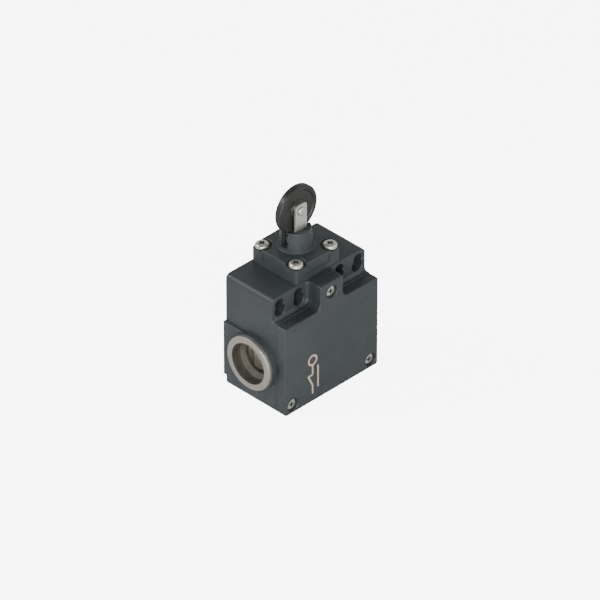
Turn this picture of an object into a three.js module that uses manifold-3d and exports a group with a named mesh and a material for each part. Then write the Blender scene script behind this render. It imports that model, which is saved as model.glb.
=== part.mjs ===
// Limit switch with a roller plunger: a die-cast housing with a screwed front cover and two
// side cable entries, a square head with a slotted turret, and a contact block inside.
// Millimetres, +Z up. The front cover faces -Y and the plunger moves along Z.
// The origin is on the bottom face, midway between the sides and between front and back.
import * as THREE from 'three';
import { mergeVertices } from 'three/addons/utils/BufferGeometryUtils.js';
import Module from 'manifold-3d';

// Clearances
const gap = 0.3;               // between pieces that touch or nearly touch
const overlap = 1;             // how far a cut or a joined shape runs past a face

// Body
const bodyWidth = 50;
const bodyDepth = 32.3;        // cover front to mounting back
const bodyHeight = 50.7;       // bottom to the seat of the head
const coverHeight = 40.3;      // bottom to the cover's top beside its tab
const coverDepth = 4.7;
const coverSkin = 2.2;         // front wall of the cover
const fixingSetback = 7.2;     // cover front to the fixing planes beside the tab
const ledgeStep = 0.3;         // the housing's ledge above the cover's top
const tabWidth = 12.2;
const tabFillet = 3;
const bottomCorner = 1.2;
const ledgeCorner = 0.8;
const shoulderCorner = 2.3;
const wall = 3;
const roofHeight = 38;         // bottom to the roof of the wiring space

// Fixing slots through the shoulder: a narrow upper hole runs into a wider lower one
const slotRadius = 2.15;
const slotLowerRadius = 2.7;
const slotUpperZ = 47.2;
const slotLowerZ = 44.3;
const outerSlotSpacing = 42;
const innerSlotSpacing = 22;
const slotDrift = 0.4;         // the lower hole lies this much nearer the middle

// Cable entries
const entryZ = 19;
const entryBore = 17.2;
const entryBoreDepth = 4.8;
const entryNeck = 13.2;
const entryFace = 22.8;        // bare machined face, outer diameter
const entryCollar = 23.8;
const entryProud = 4;          // machined face out from the housing side
const collarProud = 2.7;
const entrySides = 32;
const padProud = 1.2;
const padBottom = 5;
const padTop = 29.5;
const padSetback = 8.65;       // pad's front end back from the housing's front

// Cover screws and cover gasket
const coverScrewInset = 4.1;
const coverScrewZ = 3.8;
const tabScrewZ = 45.9;
const coverScrewRadius = 1.25;
const coverScrewHead = 2.4;
const coverScrewHeadHeight = 1.5;
const coverScrewSink = 0.9;    // head top below the cover's front
const coverScrewLength = 10.4;
const tabScrewLength = 8.2;
const screwPost = 3.3;
const gasketInset = 0.7;
const gasketWidth = 0.9;
const gasketThickness = 0.9;

// Head and turret
const headSize = 23.8;
const headHeight = 7.4;
const headSetback = 0.3;       // head front back from the fixing planes
const headCorner = 1.2;
const headScrewOffset = 9.1;
const headPocketRadius = 3.9;
const headPocketDepth = 1.2;
const panelWidth = 12.2;
const panelDepth = 0.3;
const panelBottom = 2.4;       // above the head's underside
const panelTop = 6;
const turretBase = 6.9;
const turretTip = 5.9;
const turretFillet = 0.5;
const turretHeight = 8.5;
const turretBore = 4.3;
const chamberRadius = 6.5;
const chamberRoof = 1.6;
const headSealInner = 8;
const headSealOuter = 9.6;
const headSealHeight = 0.9;
const headScrewRadius = 1.5;
const headScrewHead = 2.8;
const headScrewHeadHeight = 1.7;
const headScrewWeb = 0.5;      // screw end above the fixing slots

// Roller, fork and plunger
const stroke = 4.5;
const rollerRadius = 10.05;
const rollerThickness = 3;
const rollerRise = 8;          // roller centre above the turret
const rollerRim = 1.7;
const rollerHub = 3.2;
const rollerDish = 0.6;
const axleRadius = 1.5;
const axleHeadRadius = 1.9;
const axleHeadHeight = 0.5;
const forkWidth = 6;
const forkSheet = 1.1;
const forkTop = 3.1;           // fork top above the roller centre
const forkFloorClearance = 0.45;
const forkCorner = 0.6;
const slotFloorClearance = 0.35;
const collarRadius = 3.9;
const flangeRadius = 5.8;
const flangeThickness = 1.5;
const stemRadius = 2.5;
const stemBelowRoof = 1;
const shelfThickness = 3;
const bushRadius = 4;
const bushFlange = 0.8;
const sealHeight = 1.6;
const seatHeight = 0.7;
const springRadius = 4.6;
const springWire = 0.45;
const springTurns = 4.5;

// Contact block, measured from the plunger axis and from the block's top
const blockWidth = 27;
const blockHeight = 29.5;
const blockHeadroom = 4.5;     // block top below the roof
const blockWall = 1.5;
const capThickness = 2.5;
const capFront = 7.2;          // cap front to plunger axis
const chamberDepth = 4.5;      // contact chamber behind the plunger axis
const carrierWidth = 5;
const carrierDepth = 6;
const carrierFoot = 1.5;
const strip = 0.9;             // brass strip thickness
const legInner = 5.6;
const legOuter = 11;
const legReach = 2.5;          // fixed contact behind the plunger axis
const tabLength = 6.4;
const closedLegDrop = 6.9;     // block top to the closed pair's contact face
const openLegDrop = 20.5;      // block top to the open pair's contact face
const contactTravel = 2.6;     // open pair's gap
const bridgeLength = 18.6;
const bridgeWidth = 4;
const rivetRadius = 1.1;
const rivetHeight = 0.5;
const closedSpringHeight = 2.1;
const openSpringHeight = 3.6;
const contactSpringRadius = 1.3;
const contactSpringWire = 0.2;
const carrierSpringRadius = 1.8;
const carrierSpringWire = 0.25;
const terminalX = 8.3;
const terminalScrewDrop = 3.8; // terminal screw from the contact face
const clampSize = 5.6;
const clampThickness = 0.9;
const terminalScrewRadius = 1.5;
const terminalScrewHead = 2.6;
const terminalScrewHeadHeight = 1.9;
const ribWidth = 1.6;
const ribHeight = 2.7;
const earOffset = 3.3;         // block screw out from the block's side
const earRadius = 2.9;
const earThickness = 2.7;
const earInset = 3.2;          // block screw from the block's top or bottom
const blockScrewBite = 2.1;

// Earth terminal
const earthX = 17.6;
const earthDrop = 4.5;         // below the roof
const earthBossRadius = 3.2;
const earthBossHeight = 5;
const earthWasherSize = 6.2;
const earthWasherThickness = 0.8;
const earthScrewLength = 5.6;

// Planes and levels that follow from the sizes above
const front = -bodyDepth / 2;
const back = bodyDepth / 2;
const seam = front + coverDepth;
const fixingPlane = front + fixingSetback;
const innerBack = back - wall;
const innerSide = bodyWidth / 2 - wall;
const axisY = fixingPlane + headSetback + headSize / 2;
const screwSide = bodyWidth / 2 - coverScrewInset;
const headBottom = bodyHeight + gap;
const headTop = headBottom + headHeight;
const turretTop = headTop + turretHeight;
const headSeatZ = headTop - headPocketDepth;
const rollerZ = turretTop + rollerRise;
const slotFloor = rollerZ - rollerRadius - stroke - slotFloorClearance;
const forkFloor = rollerZ - rollerRadius - forkFloorClearance;
const forkBase = forkFloor - forkSheet;
const cheekInner = rollerThickness / 2 + gap;
const cheekOuter = cheekInner + forkSheet;
const chamberTop = headTop - chamberRoof;
const flangeTop = chamberTop - gap;
const flangeBottom = flangeTop - flangeThickness;
const stemBottom = roofHeight - stemBelowRoof;
const shelf = roofHeight + shelfThickness;
const bushBottom = shelf + gap;
const sealBottom = bushBottom + bushFlange + gap;
const seatBottom = sealBottom + sealHeight + gap;
const slotTop = slotUpperZ + slotRadius;
const blockTop = roofHeight - blockHeadroom;
const blockBottom = blockTop - blockHeight;
const blockFloor = blockBottom + blockWall;
const closedLeg = blockTop - closedLegDrop;
const openLeg = blockTop - openLegDrop;
const closedBridgeTop = closedLeg - gap;
const closedSpringTop = closedBridgeTop - rivetHeight - strip - gap;
const openBridgeBottom = openLeg + gap + contactTravel;
const openStripTop = openBridgeBottom + rivetHeight + strip;
const carrierTop = stemBottom - gap;
const guideHalfWidth = Math.max(carrierWidth / 2, stemRadius) + gap;
const guideHalfDepth = Math.max(carrierDepth / 2, stemRadius) + gap;
const carrierBottom = openBridgeBottom + rivetHeight - gap - carrierFoot;

const wasm = await Module();
wasm.setup();

// ---- Making solids ----

// A closed three.js geometry as a solid that can be joined and cut.
function solid(geometry) {
  geometry.deleteAttribute('normal');
  geometry.deleteAttribute('uv');
  const merged = mergeVertices(geometry);
  const index = merged.index.array;
  const faces = [];
  for (let i = 0; i < index.length; i += 3) {
    const [a, b, c] = [index[i], index[i + 1], index[i + 2]];
    if (a !== b && b !== c && c !== a) faces.push(a, b, c);
  }
  return new wasm.Manifold(new wasm.Mesh({
    numProp: 3,
    vertProperties: new Float32Array(merged.attributes.position.array),
    triVerts: new Uint32Array(faces),
  }));
}

function block(x0, x1, y0, y1, z0, z1) {
  const geometry = new THREE.BoxGeometry(x1 - x0, y1 - y0, z1 - z0);
  geometry.translate((x0 + x1) / 2, (y0 + y1) / 2, (z0 + z1) / 2);
  return solid(geometry);
}

// A round bar along x, y or z between two places on that axis.
function rod(axis, radius, from, to, centre, sides = 16) {
  const geometry = new THREE.CylinderGeometry(radius, radius, Math.abs(to - from), sides);
  if (axis === 'x') geometry.rotateZ(Math.PI / 2);
  if (axis === 'z') geometry.rotateX(Math.PI / 2);
  const place = new THREE.Vector3(...centre);
  place[axis] = (from + to) / 2;
  geometry.translate(place.x, place.y, place.z);
  return solid(geometry);
}

// A turned piece: [radius, height] points from the bottom of the axis up its outside, or
// round a closed ring section. It turns about z unless told to turn about y.
function turned(points, sides = 32, axis = 'z') {
  const profile = points.map(([radius, height]) => new THREE.Vector2(radius, height));
  if (points[0][0] > 0) profile.push(profile[0].clone());
  const geometry = new THREE.LatheGeometry(profile, sides);
  if (axis === 'z') geometry.rotateX(Math.PI / 2);
  return solid(geometry);
}

// An outline in x and z made into a plate between two places on y.
function plate(outline, y0, y1) {
  const geometry = new THREE.ExtrudeGeometry(outline, {
    depth: y1 - y0,
    bevelEnabled: false,
    curveSegments: 4,
  });
  geometry.rotateX(Math.PI / 2);
  geometry.translate(0, y1, 0);
  return solid(geometry);
}

function roundedOutline(halfWidth, z0, z1, lowRadius, highRadius) {
  const outline = new THREE.Shape();
  const [low, high] = [lowRadius, highRadius];
  outline.moveTo(-halfWidth + low, z0);
  outline.lineTo(halfWidth - low, z0);
  outline.absarc(halfWidth - low, z0 + low, low, -Math.PI / 2, 0);
  outline.lineTo(halfWidth, z1 - high);
  outline.absarc(halfWidth - high, z1 - high, high, 0, Math.PI / 2);
  outline.lineTo(-halfWidth + high, z1);
  outline.absarc(-halfWidth + high, z1 - high, high, Math.PI / 2, Math.PI);
  outline.lineTo(-halfWidth, z0 + low);
  outline.absarc(-halfWidth + low, z0 + low, low, Math.PI, 1.5 * Math.PI);
  return outline;
}

// The cover's outline, which the housing's front repeats: a plate with a tab up its middle.
function frontOutline(ledge) {
  const [half, tab] = [bodyWidth / 2, tabWidth / 2];
  const outline = new THREE.Shape();
  outline.moveTo(-half + bottomCorner, 0);
  outline.lineTo(half - bottomCorner, 0);
  outline.absarc(half - bottomCorner, bottomCorner, bottomCorner, -Math.PI / 2, 0);
  outline.lineTo(half, ledge - ledgeCorner);
  outline.absarc(half - ledgeCorner, ledge - ledgeCorner, ledgeCorner, 0, Math.PI / 2);
  outline.lineTo(tab + tabFillet, ledge);
  outline.absarc(tab + tabFillet, ledge + tabFillet, tabFillet, -Math.PI / 2, -Math.PI, true);
  outline.lineTo(tab, bodyHeight);
  outline.lineTo(-tab, bodyHeight);
  outline.lineTo(-tab, ledge + tabFillet);
  outline.absarc(-tab - tabFillet, ledge + tabFillet, tabFillet, 0, -Math.PI / 2, true);
  outline.lineTo(-half + ledgeCorner, ledge);
  outline.absarc(-half + ledgeCorner, ledge - ledgeCorner, ledgeCorner, Math.PI / 2, Math.PI);
  outline.lineTo(-half, bottomCorner);
  outline.absarc(-half + bottomCorner, bottomCorner, bottomCorner, Math.PI, 1.5 * Math.PI);
  return outline;
}

// The gasket's ring round the cover's rim, wider all round by the given ease.
function rimRing(ease) {
  const outerInset = gasketInset - ease;
  const innerInset = gasketInset + gasketWidth + ease;
  const corner = (inset) => Math.max(bottomCorner - inset, 0.2);
  const ring = (inset) => roundedOutline(
    bodyWidth / 2 - inset, inset, coverHeight - inset, corner(inset), corner(inset));
  const outline = ring(outerInset);
  outline.holes.push(ring(innerInset));
  return outline;
}

// A wire wound round the z axis between two heights.
class Helix extends THREE.Curve {
  constructor(radius, bottom, top, turns) {
    super();
    Object.assign(this, { radius, bottom, top, turns });
  }
  getPoint(t, target = new THREE.Vector3()) {
    const angle = 2 * Math.PI * this.turns * t;
    const z = this.bottom + (this.top - this.bottom) * t;
    return target.set(this.radius * Math.cos(angle), this.radius * Math.sin(angle), z);
  }
}

function spring(radius, wire, bottom, top, turns) {
  const section = new THREE.Shape();
  section.absarc(0, 0, wire, 0, 2 * Math.PI);
  const geometry = new THREE.ExtrudeGeometry(section, {
    extrudePath: new Helix(radius, bottom + wire, top - wire, turns),
    steps: Math.round(turns * 10),
    bevelEnabled: false,
    curveSegments: 3,
  });
  return solid(geometry);
}

// A cross-recess screw that stands on z = 0 with its shank below.
function screw(shankRadius, shankLength, headRadius, headHeight) {
  const recess = { width: headRadius * 0.28, reach: headRadius * 0.55, depth: headHeight * 0.7 };
  const body = turned([
    [0, -shankLength],
    [shankRadius - gap, -shankLength],
    [shankRadius, gap - shankLength],
    [shankRadius, 0],
    [headRadius, 0],
    [headRadius, headHeight * 0.55],
    [headRadius * 0.78, headHeight * 0.9],
    [0, headHeight],
  ], 12);
  const [half, reach, floor] = [recess.width / 2, recess.reach, headHeight - recess.depth];
  return body
    .subtract(block(-reach, reach, -half, half, floor, headHeight + overlap))
    .subtract(block(-half, half, -reach, reach, floor, headHeight + overlap));
}

// A solid as a named mesh with its own finish.
function part(name, shape, [color, roughness, metalness]) {
  const { vertProperties, triVerts } = shape.getMesh();
  const geometry = new THREE.BufferGeometry();
  geometry.setAttribute('position', new THREE.BufferAttribute(vertProperties, 3));
  geometry.setIndex(new THREE.BufferAttribute(triVerts, 1));
  geometry.computeVertexNormals();
  const material = new THREE.MeshStandardMaterial({ color, roughness, metalness });
  const mesh = new THREE.Mesh(geometry, material);
  mesh.name = name;
  return mesh;
}

// Finishes: colour, roughness, metalness
const paint = [0x4c5254, 0.55, 0.2];
const brightSteel = [0xc8c8be, 0.3, 1];
const springSteel = [0xa8a8a4, 0.35, 1];
const blackPlastic = [0x3a3a38, 0.5, 0];
const acetal = [0xe4e0d4, 0.45, 0];
const rubber = [0x1c1c1c, 0.85, 0];
const brass = [0xb89a58, 0.35, 1];
const blockPlastic = [0x8f887c, 0.55, 0];
const sides = [-1, 1];

// ---- Housing ----

// A slot for a fixing screw: two round holes run into each other, through the shoulder.
function fixingSlot(side, spacing) {
  const upper = [side * spacing / 2, 0, slotUpperZ];
  const lower = [side * (spacing / 2 - slotDrift), 0, slotLowerZ];
  const [from, to] = [front - overlap, back + overlap];
  return rod('y', slotRadius, from, to, upper)
    .add(rod('y', slotLowerRadius, from, to, lower));
}

// The raised pad, painted collar and bare machined face round a cable entry.
function entryOutside(side) {
  const at = [0, 0, entryZ];
  const wallFace = bodyWidth / 2;
  const root = side * (wallFace - overlap);
  const padEdges = [root, side * (wallFace + padProud)].sort((a, b) => a - b);
  const relief = [side * (wallFace - overlap), side * (wallFace + gap)].sort((a, b) => a - b);
  const frontEdge = seam + gap;
  return block(...padEdges, frontEdge + padSetback, back, padBottom, padTop)
    .add(rod('x', entryCollar / 2, root, side * (wallFace + collarProud), at, entrySides))
    .add(rod('x', entryFace / 2, root, side * (wallFace + entryProud), at, entrySides))
    .subtract(block(...relief, front, frontEdge, 0, bodyHeight));
}

// The wide bore that takes a cable gland, and the neck through the rest of the wall.
function entryBores(side) {
  const at = [0, 0, entryZ];
  const face = bodyWidth / 2 + entryProud;
  const boreEnd = side * (face - entryBoreDepth);
  const neckEnd = side * (innerSide - overlap);
  return rod('x', entryBore / 2, side * (face + overlap), boreEnd, at, entrySides)
    .add(rod('x', entryNeck / 2, side * face, neckEnd, at, entrySides));
}

function housing() {
  const screwHole = coverScrewRadius + gap;
  const postDepth = seam + gap + coverScrewLength + overlap;
  const screwEnd = front + coverScrewSink + coverScrewHeadHeight + coverScrewLength + gap;
  const tabScrewEnd = front + coverScrewSink + coverScrewHeadHeight + tabScrewLength + gap;
  const earthZ = roofHeight - earthDrop;
  let body = plate(roundedOutline(bodyWidth / 2, 0, bodyHeight, bottomCorner, shoulderCorner),
    fixingPlane, back)
    .add(plate(frontOutline(coverHeight + ledgeStep), seam + gap, fixingPlane + overlap));
  for (const side of sides) body = body.add(entryOutside(side));
  body = body.subtract(
    block(-innerSide, innerSide, seam - overlap, innerBack, wall, roofHeight));
  for (const side of sides) {
    body = body
      .add(rod('y', screwPost, seam + gap, postDepth, [side * screwSide, 0, coverScrewZ]))
      .subtract(entryBores(side))
      .subtract(rod('y', screwHole, front, screwEnd, [side * screwSide, 0, coverScrewZ]))
      .subtract(fixingSlot(side, outerSlotSpacing))
      .subtract(fixingSlot(side, innerSlotSpacing));
  }
  for (const [x, z] of blockScrewPlaces()) {
    const end = innerBack + blockScrewBite + gap;
    body = body.subtract(rod('y', headScrewRadius + gap, axisY, end, [x, 0, z]));
  }
  for (const [x, y] of headScrewPlaces()) {
    const end = slotTop + headScrewWeb - gap;
    const hole = rod('z', headScrewRadius + gap, end, headTop, [x, axisY + y, 0]);
    body = body.subtract(hole);
  }
  return body
    .add(rod('y', earthBossRadius, innerBack - earthBossHeight, innerBack + overlap,
      [earthX, 0, earthZ]))
    .subtract(rod('y', terminalScrewRadius + gap, front, innerBack + gap, [earthX, 0, earthZ]))
    .subtract(rod('y', screwHole, front, tabScrewEnd, [0, 0, tabScrewZ]))
    .subtract(rod('z', chamberRadius, shelf, headTop, [0, axisY, 0], 32))
    .subtract(rod('z', bushRadius + gap, roofHeight - overlap, headTop, [0, axisY, 0], 32));
}

// ---- Cover ----

function coverScrewPlaces() {
  return [
    { name: 'cover_screw_left', x: -screwSide, z: coverScrewZ, length: coverScrewLength },
    { name: 'cover_screw_right', x: screwSide, z: coverScrewZ, length: coverScrewLength },
    { name: 'cover_screw_top', x: 0, z: tabScrewZ, length: tabScrewLength },
  ];
}

function cover() {
  const skin = front + coverSkin;
  const headSeat = front + coverScrewSink + coverScrewHeadHeight + gap;
  let body = plate(frontOutline(coverHeight), front, seam)
    .subtract(block(-innerSide, innerSide, skin, seam + overlap, wall, coverHeight - wall));
  for (const side of sides) {
    body = body.add(rod('y', screwPost, skin - gap, seam, [side * screwSide, 0, coverScrewZ]));
  }
  for (const { x, z } of coverScrewPlaces()) {
    body = body
      .subtract(rod('y', coverScrewHead + gap, front - overlap, headSeat, [x, 0, z]))
      .subtract(rod('y', coverScrewRadius + gap, front, seam + overlap, [x, 0, z]));
  }
  return body.subtract(plate(rimRing(gap), seam - gasketThickness - gap, seam + overlap));
}

// ---- Head ----

function headScrewPlaces() {
  const offset = headScrewOffset;
  return [[-offset, -offset], [offset, -offset], [-offset, offset], [offset, offset]];
}

// The square head and its turret, about the plunger axis.
function head() {
  const half = headSize / 2;
  const square = new THREE.Shape();
  const corners = [[1, 1], [-1, 1], [-1, -1], [1, -1]];
  corners.forEach(([x, y], i) => {
    const reach = half - headCorner;
    const start = i * Math.PI / 2;
    square.absarc(x * reach, y * reach, headCorner, start, start + Math.PI / 2);
  });
  const base = new THREE.ExtrudeGeometry(square, {
    depth: headHeight,
    bevelEnabled: false,
    curveSegments: 4,
  });
  base.translate(0, 0, headBottom);
  let body = solid(base).add(turned([
    [0, headTop - overlap],
    [turretBase + turretFillet, headTop - overlap],
    [turretBase + turretFillet, headTop],
    [turretBase, headTop + turretFillet],
    [turretTip, turretTop - turretFillet],
    [turretTip - turretFillet, turretTop],
    [0, turretTop],
  ], 32));
  for (const [x, y] of headScrewPlaces()) {
    body = body
      .subtract(rod('z', headPocketRadius, headSeatZ, headTop + overlap, [x, y, 0]))
      .subtract(rod('z', headScrewRadius + gap, bodyHeight, headTop, [x, y, 0]));
  }
  const [low, high] = [headBottom + panelBottom, headBottom + panelTop];
  const [width, inner, outer] = [panelWidth / 2, half - panelDepth, half + overlap];
  for (const side of sides) {
    const [a, b] = [side * inner, side * outer].sort((p, q) => p - q);
    body = body
      .subtract(block(a, b, -width, width, low, high))
      .subtract(block(-width, width, a, b, low, high));
  }
  const sealGroove = turned([
    [headSealInner - gap, bodyHeight],
    [headSealOuter + gap, bodyHeight],
    [headSealOuter + gap, headBottom + headSealHeight + gap],
    [headSealInner - gap, headBottom + headSealHeight + gap],
  ]);
  const slotReach = turretBase + turretFillet + overlap;
  return body
    .subtract(sealGroove)
    .subtract(block(-slotReach, slotReach, -cheekInner, cheekInner, slotFloor, turretTop + overlap))
    .subtract(rod('z', turretBore, bodyHeight, turretTop + overlap, [0, 0, 0], 32))
    .subtract(rod('z', chamberRadius, bodyHeight, chamberTop, [0, 0, 0], 32));
}

function headSeal() {
  return turned([
    [headSealInner, headBottom],
    [headSealOuter, headBottom],
    [headSealOuter, headBottom + headSealHeight],
    [headSealInner, headBottom + headSealHeight],
  ]);
}

// ---- Roller and plunger, about the plunger axis ----

// The roller turns about y; this is its section, from one face to the other.
function roller() {
  const [half, edge] = [rollerThickness / 2, rollerThickness * 0.13];
  const web = half - rollerDish;
  const rimInner = rollerRadius - rollerRim;
  const bore = axleRadius + gap;
  const face = [
    [rollerHub, half],
    [rollerHub + rollerDish, web],
    [rimInner - rollerDish, web],
    [rimInner, half],
    [rollerRadius - edge, half],
    [rollerRadius, half - edge],
  ];
  const lowerFace = face.map(([radius, height]) => [radius, -height]);
  return turned([[bore, -half], ...lowerFace, ...face.reverse(), [bore, half]], 36, 'y');
}

function rollerAxle() {
  const [under, end] = [cheekOuter + gap, cheekOuter + gap + axleHeadHeight];
  return turned([
    [0, -end],
    [axleHeadRadius, -end],
    [axleHeadRadius, -under],
    [axleRadius, -under],
    [axleRadius, under],
    [axleHeadRadius, under],
    [axleHeadRadius, end],
    [0, end],
  ], 24, 'y');
}

// A strip of steel bent to a U, with the roller between its cheeks.
function rollerFork() {
  const half = forkWidth / 2;
  const top = rollerZ + forkTop;
  const sideView = plate(roundedOutline(half, forkBase, top, forkCorner / 2, forkCorner * 1.5),
    -cheekOuter, cheekOuter);
  const section = roundedOutline(half, -cheekOuter, cheekOuter, forkCorner, forkCorner);
  const bar = new THREE.ExtrudeGeometry(section, {
    depth: top - forkBase,
    bevelEnabled: false,
    curveSegments: 4,
  });
  bar.translate(0, 0, forkBase);
  const opening = half + overlap;
  return sideView
    .intersect(solid(bar))
    .subtract(block(-opening, opening, -cheekInner, cheekInner, forkFloor, top + overlap))
    .subtract(rod('y', axleRadius + gap, -cheekOuter - overlap, cheekOuter + overlap,
      [0, 0, rollerZ]))
    .subtract(rod('z', axleRadius + gap, forkBase - overlap, forkFloor + overlap, [0, 0, 0]));
}

// The turned plunger stem, with its peened spigot through the fork and its stop flange.
function plungerStem() {
  return turned([
    [0, stemBottom],
    [stemRadius - gap, stemBottom],
    [stemRadius, stemBottom + gap],
    [stemRadius, flangeBottom],
    [flangeRadius, flangeBottom],
    [flangeRadius, flangeTop],
    [collarRadius, flangeTop],
    [collarRadius, forkBase - gap],
    [axleRadius, forkBase - gap],
    [axleRadius, forkFloor],
    [0, forkFloor],
  ], 28);
}

function guideBush() {
  const [bore, rim] = [stemRadius + gap, chamberRadius - gap];
  return turned([
    [bore, roofHeight + gap],
    [bushRadius, roofHeight + gap],
    [bushRadius, bushBottom],
    [rim, bushBottom],
    [rim, bushBottom + bushFlange],
    [bore, bushBottom + bushFlange],
  ], 28);
}

// A flat ring that fills the housing's bore round the stem.
function boreRing(bottom, height) {
  const [bore, rim] = [stemRadius + gap, chamberRadius - gap];
  return turned([[bore, bottom], [rim, bottom], [rim, bottom + height], [bore, bottom + height]], 28);
}

// ---- Contact block, about the plunger axis ----

// The two screws that hold the block to the housing's back wall, in diagonal ears.
function blockScrewPlaces() {
  const x = blockWidth / 2 + earOffset;
  return [[-x, blockTop - earInset], [x, blockBottom + earInset]];
}

function blockBase() {
  const half = blockWidth / 2;
  const chamber = half - blockWall - gap;
  const baseFront = -capFront + capThickness + gap;
  const baseBack = innerBack - axisY - gap;
  let body = block(-half, half, baseFront, baseBack, blockBottom, blockTop)
    .subtract(block(-chamber, chamber, baseFront - overlap, chamberDepth, blockFloor,
      blockTop - blockWall));
  const [guideLow, guideHigh] = [blockTop - blockWall - overlap, blockTop + overlap];
  body = body.subtract(block(-guideHalfWidth, guideHalfWidth, -guideHalfDepth, guideHalfDepth,
    guideLow, guideHigh));
  for (const [x, z] of blockScrewPlaces()) {
    const earFront = baseBack - earThickness;
    const [a, b] = [Math.sign(x) * (half - overlap), x].sort((p, q) => p - q);
    body = body
      .add(rod('y', earRadius, earFront, baseBack, [x, 0, z]))
      .add(block(a, b, earFront, baseBack, z - earRadius, z + earRadius))
      .subtract(rod('y', headScrewRadius + gap, earFront - overlap, baseBack + overlap, [x, 0, z]));
  }
  return body;
}

// The four terminals: which side, and the closed pair above or the open pair below.
const terminals = [
  { name: 'closed_left', side: -1, leg: closedLeg, up: 1 },
  { name: 'closed_right', side: 1, leg: closedLeg, up: 1 },
  { name: 'open_left', side: -1, leg: openLeg, up: -1 },
  { name: 'open_right', side: 1, leg: openLeg, up: -1 },
];

function blockCap() {
  const half = blockWidth / 2;
  const backFace = -capFront + capThickness;
  let body = block(-half, half, -capFront, backFace, blockBottom, blockTop)
    .add(block(-ribWidth / 2, ribWidth / 2, -capFront - ribHeight, -capFront + gap,
      blockBottom, blockTop));
  for (const { side, leg, up } of terminals) {
    const [x0, x1] = [side * (legInner - gap), side * (legOuter + gap)].sort((p, q) => p - q);
    const [z0, z1] = [leg - up * gap, leg + up * (strip + gap)].sort((p, q) => p - q);
    const at = [side * terminalX, 0, leg + up * terminalScrewDrop];
    body = body
      .subtract(block(x0, x1, -capFront - overlap, backFace + overlap, z0, z1))
      .subtract(rod('y', terminalScrewRadius + gap, -capFront - overlap, backFace + overlap, at));
  }
  return body;
}

// A fixed contact: a leg that reaches into the block and a tab bent up or down in front.
function terminal({ side, leg, up }) {
  const [x0, x1] = [side * legInner, side * legOuter].sort((p, q) => p - q);
  const tabFront = -capFront - gap - strip;
  const [z0, z1] = [leg, leg + up * strip].sort((p, q) => p - q);
  const [t0, t1] = [leg, leg + up * tabLength].sort((p, q) => p - q);
  const at = [side * terminalX, 0, leg + up * terminalScrewDrop];
  return block(x0, x1, tabFront, legReach, z0, z1)
    .add(block(x0, x1, tabFront, tabFront + strip, t0, t1))
    .subtract(rod('y', terminalScrewRadius + gap, tabFront - overlap, -capFront + overlap, at));
}

function clampPlate() {
  const half = clampSize / 2;
  return block(-half, half, -clampThickness / 2, clampThickness / 2, -half, half)
    .subtract(rod('y', terminalScrewRadius + gap, -overlap, overlap, [0, 0, 0]));
}

// A moving contact: a strip with a contact rivet near each end, above or below the strip.
function bridge(stripBottom, up) {
  const half = bridgeLength / 2;
  const face = up > 0 ? stripBottom + strip : stripBottom;
  let body = block(-half, half, -bridgeWidth / 2, bridgeWidth / 2, stripBottom, stripBottom + strip);
  for (const side of sides) {
    const [z0, z1] = [face - up * gap, face + up * rivetHeight].sort((p, q) => p - q);
    body = body.add(rod('z', rivetRadius, z0, z1, [side * (half - 2), 0, 0], 16));
  }
  return body;
}

// The slide that the plunger pushes, with a window for each moving contact and its spring.
function contactCarrier() {
  const [halfX, halfY] = [carrierWidth / 2, carrierDepth / 2];
  const window = bridgeWidth / 2 + gap;
  const reach = halfX + overlap;
  const closedFloor = closedSpringTop - closedSpringHeight - gap;
  const openFloor = openBridgeBottom + rivetHeight - gap;
  const openCeiling = openStripTop + gap + openSpringHeight + gap;
  return block(-halfX, halfX, -halfY, halfY, carrierBottom, carrierTop)
    .subtract(block(-reach, reach, -window, window, closedFloor, closedBridgeTop + gap))
    .subtract(block(-reach, reach, -window, window, openFloor, openCeiling));
}

// ---- Assembly ----

function bodyPieces() {
  const group = new THREE.Group();
  group.add(part('housing', housing(), paint));
  group.add(part('cover', cover(), paint));
  group.add(part('cover_gasket', plate(rimRing(0), seam - gasketThickness, seam), rubber));
  for (const { name, x, z, length } of coverScrewPlaces()) {
    const shape = screw(coverScrewRadius, length, coverScrewHead, coverScrewHeadHeight);
    const mesh = part(name, shape, brightSteel);
    mesh.position.set(x, front + coverScrewSink + coverScrewHeadHeight, z);
    mesh.rotation.x = Math.PI / 2;
    group.add(mesh);
  }
  return group;
}

function headPieces() {
  const group = new THREE.Group();
  group.position.y = axisY;
  group.add(part('head', head(), paint));
  group.add(part('head_seal', headSeal(), rubber));
  const names = ['front_left', 'front_right', 'rear_left', 'rear_right'];
  const shankLength = headSeatZ + gap - (slotTop + headScrewWeb);
  headScrewPlaces().forEach(([x, y], i) => {
    const shape = screw(headScrewRadius, shankLength, headScrewHead, headScrewHeadHeight);
    const mesh = part(`head_screw_${names[i]}`, shape, brightSteel);
    mesh.position.set(x, y, headSeatZ + gap);
    group.add(mesh);
  });
  const wheel = part('roller', roller(), blackPlastic);
  const axle = part('roller_axle', rollerAxle(), brightSteel);
  wheel.position.z = rollerZ;
  axle.position.z = rollerZ;
  group.add(wheel, axle);
  group.add(part('roller_fork', rollerFork(), brightSteel));
  group.add(part('plunger_stem', plungerStem(), brightSteel));
  group.add(part('guide_bush', guideBush(), acetal));
  group.add(part('stem_seal', boreRing(sealBottom, sealHeight), rubber));
  group.add(part('spring_seat', boreRing(seatBottom, seatHeight), springSteel));
  group.add(part('return_spring',
    spring(springRadius, springWire, seatBottom + seatHeight + gap, flangeBottom - gap, springTurns),
    springSteel));
  return group;
}

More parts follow.
